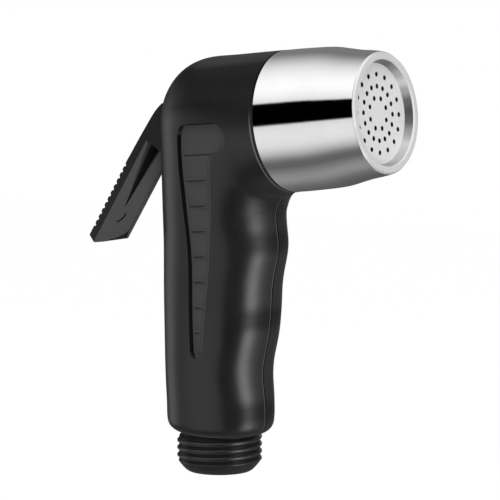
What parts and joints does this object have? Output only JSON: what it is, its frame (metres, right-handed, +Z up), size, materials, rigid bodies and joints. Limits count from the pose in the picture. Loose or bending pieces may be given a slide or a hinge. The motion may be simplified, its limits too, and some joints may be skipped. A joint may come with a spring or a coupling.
{
  "type": "handheld bidet shower",
  "caption": "Black handheld bidet sprayer with finger-wave grip, bright tapered nozzle with a drilled spray face, threaded inlet and a rear thumb lever that opens the valve.",
  "frame": {"origin": "the inlet's axis, where its thread meets the lower end of the handle", "axes": "+Z up along the handle from the inlet, +X forward towards the spray, +Y to the user's left"},
  "size_m": [0.0839, 0.034, 0.1045],
  "materials": {
    "black_abs": "satin moulded plastic",
    "black_thread": "satin moulded plastic",
    "lever_abs": "satin moulded plastic",
    "chrome_plate": "bright chrome plate",
    "plate_silver": "fine grained silver plate",
    "inner_plastic": "natural moulded acetal",
    "seal_rubber": "soft matt rubber",
    "spring_steel": "drawn stainless wire",
    "pin_steel": "ground stainless rod",
    "filter_mesh": "moulded screen"
  },
  "bodies": {
    "handset": {"right_shell": "black_abs", "left_shell": "black_abs", "inlet_connector": "black_thread", "inlet_filter": "filter_mesh", "riser_tube": "inner_plastic", "riser_ring_base": "seal_rubber", "riser_ring_top": "seal_rubber", "valve_housing": "inner_plastic", "return_spring": "spring_steel", "spring_seat": "inner_plastic", "nozzle_seal": "seal_rubber", "nozzle_cup": "black_thread", "flow_disc": "black_thread", "plate_gasket": "seal_rubber", "spray_plate": "plate_silver", "nozzle_sleeve": "chrome_plate", "hinge_pin": "pin_steel"},
    "lever": {"trigger_lever": "lever_abs"},
    "stem": {"valve_stem": "inner_plastic", "stem_ring_rear": "seal_rubber", "stem_ring_front": "seal_rubber"}
  },
  "joints": [
    {"name": "lever_pivot", "type": "hinge", "parent": "handset", "child": "lever", "pos_m": [-0.007, 0, 0.0807], "axis": [0, -1, 0], "range_deg": [0, 14], "stiffness_Nm_per_rad": 0.05, "springref_deg": -45.84},
    {"name": "stem_slide", "type": "slide", "parent": "handset", "child": "stem", "axis": [0.9945, 0, 0.1045], "range_m": [0, 0.00175], "deforming": ["return_spring"]}
  ],
  "couplings": [
    {"joint": "stem_slide", "follows": "lever_pivot", "m_per_rad": 0.00705}
  ]
}
